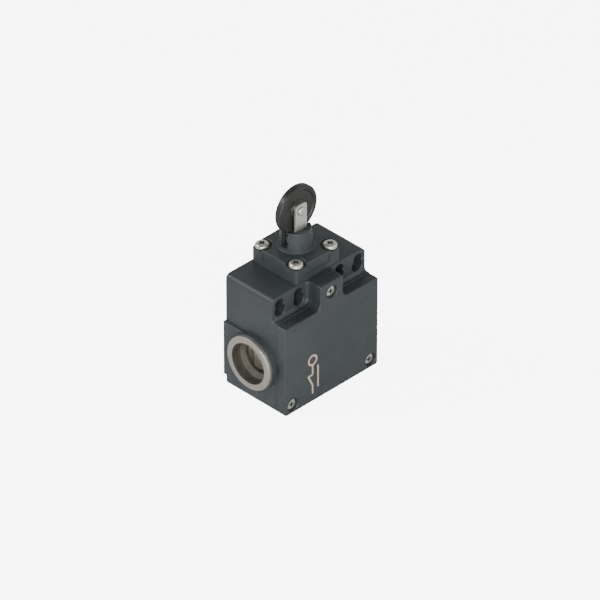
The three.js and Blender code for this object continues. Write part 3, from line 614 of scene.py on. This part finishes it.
# Two windows through the carrier hold a moving contact and its spring each.
window_half = 2.3
closed_window = (span("closed_bridge_spring")[0].z - GAP, span("closed_bridge")[1].z + GAP)
open_window = (span("open_bridge")[0].z - 2 * GAP, span("open_bridge_spring")[1].z + GAP)
for window in (closed_window, open_window):
    cut(slide, bar((carrier_low.x - RUN_PAST, carrier_high.x + RUN_PAST),
                   (axis_y - window_half, axis_y + window_half), window, 0), white_acetal)
complete(slide, "carrier", "slide_plastic", "contact_carrier")

# ---- Screws ----
# Steel screws with pan heads and a cross recess, zinc plated and bright. The housing's posts,
# the head and the contact block take them, and a brass one holds the earth terminal.

# Bright zinc plating on steel: silvery with a faint warm tint. A darker copy of it on the
# cross recess walls is painted shade.
plated_steel = finish("bright zinc plated steel", ("#d0d0c6", "#e0e0d6"), 1.5, (0.26, 0.38), 0.85,
                      0.4, 0.006)
recess_painted_shade_steel = finish("zinc plated recess with painted shade", ("#66665f", "#7d7d76"), 1.5, (0.4, 0.55), 0.85,
                      0.4, 0.006)


def cross_screw(head_radius, head_height, shank_radius, length, axis, place, material, name, flat):
    """A cross-recess screw whose seat is at place, its shank running down its axis."""
    pitch, end_bevel, plain_length = 0.5, 0.3, 1.2
    root_radius = shank_radius - 0.28
    points = [(0, -length, 0), (shank_radius - 0.35, -length, 0)]
    for turn in range(int((length - plain_length) / pitch)):
        root = -length + end_bevel + turn * pitch
        points += [(root_radius, root, 0), (shank_radius, root + pitch / 2, 0)]
    # The head as shares of its height: a cheese head is straight-sided, a pan head is round.
    shoulder, rounding = (0.86, 0.1) if flat else (0.62, 0.3)
    points += [(root_radius, -0.6, 0), (shank_radius - 0.2, 0, 0),
               (head_radius, 0, 0.1), (head_radius, head_height * shoulder, head_height * rounding),
               (head_radius * 0.72, head_height * 0.97, 0.3), (0, head_height, 0)]
    body = as_object(turned(points, 40), name, material)
    depth, reach, width = head_height * 0.75, head_radius * 0.56, head_radius * 0.15
    floor = head_height - depth
    # The walls of a plated screw's cross recess take the darker copy: painted shade.
    walls = recess_painted_shade_steel if material is plated_steel else material
    for half_x, half_y in ((reach, width), (width, reach)):
        wing = bar((-half_x, half_x), (-half_y, half_y), (floor, head_height + 0.3), 0)
        sunk = [v for v in wing.verts if v.co.z < floor + 0.01]
        along, across = 0.45, 0.6     # how far the recess narrows towards its floor
        narrowed = (along, across, 1) if half_x > half_y else (across, along, 1)
        bmesh.ops.scale(wing, vec=narrowed, verts=sunk)
        cut(body, wing, walls)
    well = turned([(0, floor - 0.2, 0), (width * 1.5, floor + 0.1, 0),
                   (width * 2.1, head_height + 0.3, 0), (0, head_height + 0.3, 0)], 16)
    cut(body, well, walls)
    bm = bmesh.new()
    bm.from_mesh(body.data)
    swung(bm, "X", math.pi / 2 if axis == "y" else 0, place)
    bm.to_mesh(body.data)
    bm.free()
    return body


def fit_screw(node, axis, head_height, shank_radius, material=plated_steel, slot="bright_steel",
              flat=False):
    """A cross-recess screw in the space of a packed one, with its seat and end where they are."""
    low, high = span(node)
    middle = middle_of(node)
    head_radius = (high.x - low.x) / 2
    if axis == "z":
        seat = (middle.x, middle.y, high.z - head_height)
        length = seat[2] - low.z
    else:
        seat = (middle.x, low.y + head_height, middle.z)
        length = high.y - seat[1]
    body = cross_screw(head_radius, head_height, shank_radius, length, axis, seat, material,
                       f"{node}_cheese_head" if flat else f"{node}_pan_head", flat)
    return complete(body, "root", slot, node, crease=40)


shank, terminal_head = 1.5, 1.9
for name in block_screws:
    fit_screw(name, "y", 1.7, shank)
for place in terminals:
    fit_screw(f"terminal_screw_{place}", "y", terminal_head, shank)
    low, high = span(f"clamp_{place}")
    clamp = as_object(bar((low.x, high.x), (low.y, high.y), (low.z, high.z), 0.2),
                      f"wire_clamp_{place}", plated_steel)
    x, _, z = middle_of(f"clamp_{place}")
    clamp_hole = drill("y", SCREW_HOLE, low.y, high.y, (x, 0, z), 0.1, turns=24)
    cut(clamp, clamp_hole, plated_steel)
    complete(clamp, "root", "bright_steel", f"clamp_{place}")
fit_screw("earth_screw", "y", terminal_head, shank, brass_strip, "brass")
washer = as_object(bar((earth_low.x, earth_high.x), (earth_low.y, earth_high.y),
                       (earth_low.z, earth_high.z), 0.15), "earth_terminal_washer", brass_strip)
washer_hole = drill("y", SCREW_HOLE, earth_low.y, earth_high.y, (earth.x, 0, earth.z), 0.1, turns=24)
cut(washer, washer_hole, brass_strip)
complete(washer, "root", "brass", "earth_washer")

# ---- Cover and its gasket ----
# A second die casting, painted like the housing, that closes the front. A moulded rubber
# gasket lies in a groove round its back, and three screws in counterbores hold it.
cover_height = 40.3
gasket_low, gasket_high = span("cover_gasket")
gasket_width, gasket_rounding = 0.9, 1.3


def ring_corners(inset):
    """The gasket's rounded outline, drawn in from its own outer edge."""
    x, low, high = gasket_high.x - inset, gasket_low.z + inset, gasket_high.z - inset
    corner = max(gasket_rounding - inset, 0.3)
    return [(-x, low, corner), (x, low, corner), (x, high, corner), (-x, high, corner)]




def taken_back(piece):
    """The shape of a piece that only served to build it, with the piece itself deleted."""
    bm = bmesh.new()
    bm.from_mesh(piece.data)
    bpy.data.objects.remove(piece)
    return bm


lid = as_object(cast_between(tabbed(cover_height), front, seam, 0.75, 0.18, steps=6),
                "cast_cover", powder_paint)
lid_thickness = 2.2
lid_hollow = cast_between(hollow(cover_height - wall), front + lid_thickness, seam + RUN_PAST, 0.8)
cut(lid, lid_hollow, powder_paint)
for name in cover_screws[:2]:
    x, z = cover_screw_places[name][:2]
    fuse(lid, drill("y", post_radius, front + 2, seam - 0.05, (x, 0, z), turns=32), powder_paint)
counterbore, counterbore_floor = 2.7, front + 2.7
for name in cover_screws:
    x, z = cover_screw_places[name][:2]
    sunk = turned([(0, -RUN_PAST, 0), (counterbore + 0.2 + RUN_PAST, -RUN_PAST, 0),
                   (counterbore, 0.2, 0), (counterbore, counterbore_floor - front, 0.25),
                   (0, counterbore_floor - front, 0)], 48)
    cut(lid, laid(sunk, "y", (x, front, z)), powder_paint)
    cut(lid, drill("y", screw_hole, front, seam + RUN_PAST, (x, 0, z), turns=24), powder_paint)
groove = as_object(cast_between(ring_corners(-GAP), gasket_low.y - GAP, seam + RUN_PAST), "groove",
                   powder_paint)
island = cast_between(ring_corners(gasket_width + GAP), gasket_low.y - 1, seam + 2)
cut(groove, island, powder_paint)
cut(lid, taken_back(groove), powder_paint)
complete(lid, "root", "painted_casting", "cover")

gasket = as_object(cast_between(ring_corners(0), gasket_low.y, seam, 0.2, 0.2), "rim_gasket",
                   seal_rubber)
cut(gasket, cast_between(ring_corners(gasket_width), gasket_low.y - 1, seam + 1), seal_rubber)
complete(gasket, "root", "seal_rubber", "cover_gasket")
for name in cover_screws:
    fit_screw(name, "y", 1.5, 1.25, flat=True)

# ---- Printed mark ----
# A pad-printed sign on the cover, in pale ink: a plain symbol of a contact pair that a roller
# works, drawn up the cover's left side.

# Pad-printing ink: flat, warm and pale.
mark_ink = finish("pale pad-print ink", ("#c9b3a0", "#d6c1af"), 2.0, (0.5, 0.6), 0.0, 0.3, 0.004)
ink_height = 0.03
line = 0.75


def stroke(start, end, width=line):
    """A straight line of ink between two (x, z) places on the cover's front."""
    (x0, z0), (x1, z1) = start, end
    length = math.hypot(x1 - x0, z1 - z0)
    half, corner = width / 2, width * 0.2
    bm = cast_between([(-half, 0, corner), (half, 0, corner), (half, length, corner),
                       (-half, length, corner)], -ink_height, 0.01)
    return swung(bm, "Y", math.atan2(x1 - x0, z1 - z0), (x0, front, z0))


mark_left, mark_right, mark_low, mark_high = -13.4, -7.6, 4.0, 22.0
mark_middle = (mark_left + mark_right) / 2
strokes = [
    ((mark_middle, mark_low), (mark_middle, mark_low + 4.0)),
    ((mark_middle, mark_low + 4.0), (mark_left + 0.5, mark_low + 9.0)),
    ((mark_middle, mark_low + 8.8), (mark_middle, mark_high - 4.8)),
    ((mark_middle, mark_low + 8.8), (mark_left + 0.4, mark_low + 8.8)),
    ((mark_right, mark_low + 2.0), (mark_right, mark_high - 6.0)),
]
marks = []
for start, end in strokes:
    marks.append(as_object(stroke(start, end), "ink", mark_ink))
ring_radius, ring_hole = 2.5, 1.7
ring = turned([(ring_hole, 0, 0), (ring_radius, 0, 0), (ring_radius, ink_height, 0),
               (ring_hole, ink_height, 0)], 48)
ring = laid(facing(ring, -1), "y", (mark_middle, front, mark_high - ring_radius))
marks.append(as_object(ring, "ink", mark_ink))
mark = marks[0]
mark.name = "printed_mark"
for other in marks[1:]:
    fuse(mark, taken_back(other), mark_ink)
complete(mark, "root", "painted_casting")

# ---- Head ----
# A square die casting with a slotted turret, in the same paint, screwed down over a rubber
# seal. It can be fitted at any quarter turn, and its screws stand in pockets at its corners.
head_half = (head_high.x - head_low.x) / 2
head_top, turret_top = 58.4, head_high.z
pocket_floor, pocket_radius = head_top - 1.2, 3.9
head_corner = 1.2
plate_corners = [(-head_half, -head_half, head_corner), (head_half, -head_half, head_corner),
                 (head_half, head_half, head_corner), (-head_half, head_half, head_corner)]
head_seat = body_top + 0.03
block = cast_between(plate_corners, head_seat, head_top, 0.2, 0.35, steps=6)
crown = as_object(swung(block, "X", math.pi / 2, (0, axis_y, 0)), "cast_head", powder_paint)
turret_base, turret_tip, turret_foot = 6.9, 5.9, 8.1
turret = turned([(0, head_top - 1, 0), (turret_foot, head_top - 1, 0),
                 (turret_foot, head_top + 0.01, 0), (turret_base, head_top + 0.01, 0.6),
                 (turret_tip, turret_top, 0.4), (0, turret_top, 0)], 96, 5)
fuse(crown, laid(turret, "z", (0, axis_y, 0)), powder_paint)
for name in head_screws:
    x, y, _ = middle_of(name)
    pocket = turned([(0, 0, 0), (pocket_radius, 0, 0.3), (pocket_radius, 1.0, 0),
                     (pocket_radius + 1.2, 2.2, 0), (0, 2.2, 0)], 64)
    cut(crown, laid(pocket, "z", (x, y, pocket_floor)), powder_paint)
    head_hole = drill("z", SCREW_HOLE, head_low.z - 1, head_top, (x, y, 0), turns=24)
    cut(crown, head_hole, powder_paint)
# A shallow panel is sunk in each of its four sides.
panel_half, panel_depth = 6.1, 0.3
panel_low, panel_high = head_low.z + 2.4, head_low.z + 6.0
for quarter in range(4):
    sunk = bar((-panel_half, panel_half), (head_half - panel_depth, head_half + 1),
               (panel_low, panel_high), 0.12)
    cut(crown, swung(sunk, "Z", quarter * math.pi / 2, (0, axis_y, 0)), powder_paint)
wheel_gap, wheel_floor = 1.8, 60.0
slot_tool = bar((-head_half, head_half), (axis_y - wheel_gap, axis_y + wheel_gap),
                (wheel_floor, turret_top + 2), 0.25)
cut(crown, slot_tool, powder_paint)
turret_hole = drill("z", guide_radius, head_low.z - 3, turret_top, (0, axis_y, 0), 0.2, turns=64)
cut(crown, turret_hole, powder_paint)
chamber_top = head_top - 1.6
chamber = drill("z", chamber_radius, head_low.z - 1, chamber_top, (0, axis_y, 0), turns=64)
cut(crown, chamber, powder_paint)
head_seal_high = span("head_seal")[1]
seal_inner, seal_outer = 8.0, head_seal_high.x
seal_groove = turned([(seal_inner - GAP, head_low.z - 1, 0), (seal_outer + GAP, head_low.z - 1, 0),
                      (seal_outer + GAP, head_seal_high.z + GAP, 0),
                      (seal_inner - GAP, head_seal_high.z + GAP, 0)])
cut(crown, laid(seal_groove, "z", (0, axis_y, 0)), powder_paint)
complete(crown, "root", "painted_casting", "head")
under_head = turned([(seal_inner, head_low.z, 0.25), (seal_outer, head_low.z, 0.25),
                     (seal_outer, head_seal_high.z, 0.25), (seal_inner, head_seal_high.z, 0.25)])
under_head = as_object(laid(under_head, "z", (0, axis_y, 0)), "head_sealing_ring", seal_rubber)
complete(under_head, "root", "seal_rubber", "head_seal")
for name in head_screws:
    fit_screw(name, "z", 1.7, shank)

# ---- Plunger stem and fork ----
# The stem is turned from steel, with a stop flange in the head and a spigot peened over in the
# fork's floor. The fork is one strip of stainless steel, bent to a U with rounded cheek ends.

# Stainless strip: bright with a faint warm tint and a fine rolled grain along the bend.
stainless_strip = finish("rolled stainless strip", ("#d6d6cb", "#e2e2d8"), 4.0, (0.36, 0.46), 0.85,
                         0.4, 0.006, (1, 1, 0.25))
stem_low, stem_high = span("plunger_stem")
fork_low, fork_high = span("roller_fork")
flange_radius, flange_top, flange_thickness = stem_high.x, chamber_top - GAP, 1.5
flange_bottom = flange_top - flange_thickness
stem_collar, spigot = 3.9, 1.5
stem = turned([(0, stem_low.z, 0), (stem_radius, stem_low.z, 0.35),
               (stem_radius, flange_bottom, 0.1), (flange_radius, flange_bottom, 0.2),
               (flange_radius, flange_top, 0.2), (stem_collar, flange_top, 0),
               (stem_collar, fork_low.z - GAP, 0.25), (spigot, fork_low.z - GAP, 0),
               (spigot, stem_high.z - 0.1, 0), (spigot + 0.2, stem_high.z, 0.08),
               (0, stem_high.z, 0)])
stem = as_object(laid(stem, "z", (0, axis_y, 0)), "turned_stem", plated_steel)
complete(stem, "plunger", "bright_steel", "plunger_stem")

sheet_thickness = 1.1
cheek_out = (fork_high.y - fork_low.y) / 2
cheek_in = cheek_out - sheet_thickness
axle_z = middle_of("roller_axle").z
fork_half, fork_top, fork_floor = fork_high.x, fork_high.z, fork_low.z + sheet_thickness
sheared_edge = 0.12
bend = [(-cheek_out, fork_low.z, 0.8), (cheek_out, fork_low.z, 0.8),
        (cheek_out, fork_top, sheared_edge), (cheek_in, fork_top, sheared_edge),
        (cheek_in, fork_floor, 0.3), (-cheek_in, fork_floor, 0.3),
        (-cheek_in, fork_top, sheared_edge), (-cheek_out, fork_top, sheared_edge)]
strip = cast_between(bend, -fork_half, fork_half, sheared_edge, sheared_edge)
fork = as_object(swung(strip, "Z", math.pi / 2, (0, axis_y, 0)), "bent_fork", stainless_strip)
# Each cheek's two upper corners are cut away in two short straights.
cheek_rounding = 1.2
knee = 0.3 * cheek_rounding
for side in (-1, 1):
    nick = [(side * (fork_half - cheek_rounding), fork_top + 1, 0),
            (side * (fork_half + 1), fork_top + 1, 0),
            (side * (fork_half + 1), fork_top - cheek_rounding, 0),
            (side * fork_half, fork_top - cheek_rounding, 0),
            (side * (fork_half - knee), fork_top - knee, 0),
            (side * (fork_half - cheek_rounding), fork_top, 0)]
    cut(fork, cast_between(nick, axis_y - cheek_out - 1, axis_y + cheek_out + 1), stainless_strip)
pin_hole = 1.8
axle_hole = drill("y", pin_hole, fork_low.y - 1, fork_high.y + 1, (0, 0, axle_z), turns=32)
cut(fork, axle_hole, stainless_strip)
spigot_hole = drill("z", pin_hole, fork_low.z - 1, fork_low.z + 2, (0, axis_y, 0), turns=32)
cut(fork, spigot_hole, stainless_strip)
complete(fork, "plunger", "bright_steel", "roller_fork")

# ---- Roller and its axle ----
# The roller is moulded in black technopolymer, with a raised rim and hub on each face. It
# turns on a steel pin whose ends are riveted over the fork's cheeks.

# Glass-filled technopolymer: charcoal, satin, with a faint speckle.
black_polymer = finish("charcoal technopolymer", ("#242423", "#2c2c2a"), 4.0, (0.36, 0.48), 0.0,
                       0.45, 0.01)
roller_low, roller_high = span("roller")
roller_radius, roller_half = roller_high.x, (roller_high.y - roller_low.y) / 2
rim_width, hub_radius, dish = 1.7, 3.2, 0.6
face = [(pin_hole, roller_half, 0.1), (hub_radius, roller_half, 0.15),
        (hub_radius + 0.5, roller_half - dish, 0.2),
        (roller_radius - rim_width - 0.5, roller_half - dish, 0.3),
        (roller_radius - rim_width, roller_half, 0.15),
        (roller_radius - 0.45, roller_half, 0.15), (roller_radius, roller_half - 0.4, 0.15)]
other_face = [(radius, -height, rounding) for radius, height, rounding in reversed(face)]
tyre = as_object(laid(turned(face + other_face, 96), "y", (0, axis_y, axle_z)), "moulded_roller",
                 black_polymer)
complete(tyre, "roller", "roller_plastic", "roller")
axle_high = span("roller_axle")[1]
pin_end = axle_high.y - axis_y
pin_head, pin_radius = axle_high.x, 1.5
head_under = pin_end - 0.5
pin = turned([(0, -pin_end, 0), (pin_head * 0.75, -pin_end, 0.2), (pin_head, -head_under, 0.1),
              (pin_radius, -head_under, 0), (pin_radius, head_under, 0),
              (pin_head, head_under, 0.1), (pin_head * 0.75, pin_end, 0.2), (0, pin_end, 0)], 48)
pin = as_object(laid(pin, "y", (0, axis_y, axle_z)), "riveted_pin", plated_steel)
complete(pin, "plunger", "bright_steel", "roller_axle")

# ---- Floor, light and camera ----
# A wide pale sheet, seen whiter than it lights the switch, with a soft light from the front
# left, three small ones for the edges and a spot into the entry. A long lens keeps edges upright.
floor_reach = 6000
floor_shape = bmesh.new()
bmesh.ops.create_grid(floor_shape, x_segments=1, y_segments=1, size=floor_reach)
floor = as_object(floor_shape, "floor")
floor.data.transform(Matrix.Scale(MM, 4))
floor.data.transform(Matrix.Translation((0, 0, -0.0002)))
paper = bpy.data.materials.new("white paper sheet")
paper.use_nodes = True
paper_shader = paper.node_tree.nodes["Principled BSDF"]
paper_shader.inputs["Base Color"].default_value = linear("#f4f4f4")
paper_shader.inputs["Roughness"].default_value = 0.9
paper_shader.inputs["Specular IOR Level"].default_value = 0.1
paper_shader.inputs["Emission Color"].default_value = linear("#ffffff")
seen, glare = add(paper.node_tree, "ShaderNodeLightPath").outputs["Is Camera Ray"], 7.0
lift = add(paper.node_tree, "ShaderNodeMath", {0: seen, 1: glare}, operation="MULTIPLY").outputs[0]
paper.node_tree.links.new(lift, paper_shader.inputs["Emission Strength"])
floor.data.materials.append(paper)

scene = bpy.context.scene
world = bpy.data.worlds.new("pale studio")
world.use_nodes = True
sky = world.node_tree
sky.nodes.clear()
height = add(sky, "ShaderNodeSeparateXYZ",
             {"Vector": add(sky, "ShaderNodeTexCoord").outputs["Generated"]}).outputs["Z"]
fade = add(sky, "ShaderNodeMapRange",
           {"Value": height, "From Min": 0.0, "From Max": 0.9, "To Min": 1.0,
            "To Max": 0.16}).outputs["Result"]
glow = add(sky, "ShaderNodeBackground", {"Color": linear("#ffffff"), "Strength": fade})
add(sky, "ShaderNodeOutputWorld", {"Surface": glow.outputs["Background"]})
scene.world = world


def hung(name, data, direction, distance, target):
    """A lamp that faces a target from a direction."""
    lamp = bpy.data.objects.new(name, data)
    away = Vector(direction).normalized()
    lamp.location = target + away * distance
    lamp.rotation_mode = "QUATERNION"
    lamp.rotation_quaternion = away.to_track_quat("Z", "Y")
    lamp.visible_camera = False
    scene.collection.objects.link(lamp)


def soft_light(name, direction, distance, size, power):
    """A square softbox that faces the switch from a direction, unseen by the camera."""
    data = bpy.data.lights.new(name, "AREA")
    data.shape = "SQUARE"
    data.size = size
    data.energy = power
    hung(name, data, direction, distance, Vector((0, 0, 0.035)))


soft_light("front_left_key", (-0.9, -1.0, 0.35), 0.9, 0.6, 6.0)
soft_light("front_edges", (-0.1, -0.8, 0.6), 0.8, 0.12, 0.5)
soft_light("front_right_edges", (1.0, -1.0, 1.0), 0.8, 0.15, 0.5)
soft_light("back_left_edges", (-1.0, 1.0, 1.0), 0.8, 0.12, 1.9)

# A narrow spot looks into the left entry, along the camera's view, at the contact block's side.
block_side, spot_distance, spot_reach = Vector((-13.5, 11.5, 7.9)) * MM, 0.8, 5 * MM
spot = bpy.data.lights.new("entry_spot", "SPOT")
spot.energy = 90.0
spot.spot_size = 2 * math.atan(spot_reach / spot_distance)
spot.spot_blend = 0.8
spot.shadow_soft_size = 0.02
hung("entry_spot", spot, (-1, -1, 1), spot_distance, block_side)

across = Vector((1, -1, 0)).normalized()
upward = Vector((1, 1, 2)).normalized()
toward = Vector((-1, -1, 1)).normalized()
view_width, lens, sensor = 0.2273, 500.0, 36.0
aim_across, aim_up = 5.477, 44.659
aim = (Vector((-half_width, front, 0)) + across * aim_across + upward * aim_up) * MM
camera_data = bpy.data.cameras.new("camera")
camera_data.lens = lens
camera_data.sensor_width = sensor
camera_data.clip_end = 20.0
camera = bpy.data.objects.new("camera", camera_data)
camera.location = aim + toward * (view_width * lens / sensor)
camera.rotation_mode = "QUATERNION"
camera.rotation_quaternion = Matrix((across, upward, toward)).transposed().to_quaternion()
scene.collection.objects.link(camera)
scene.camera = camera
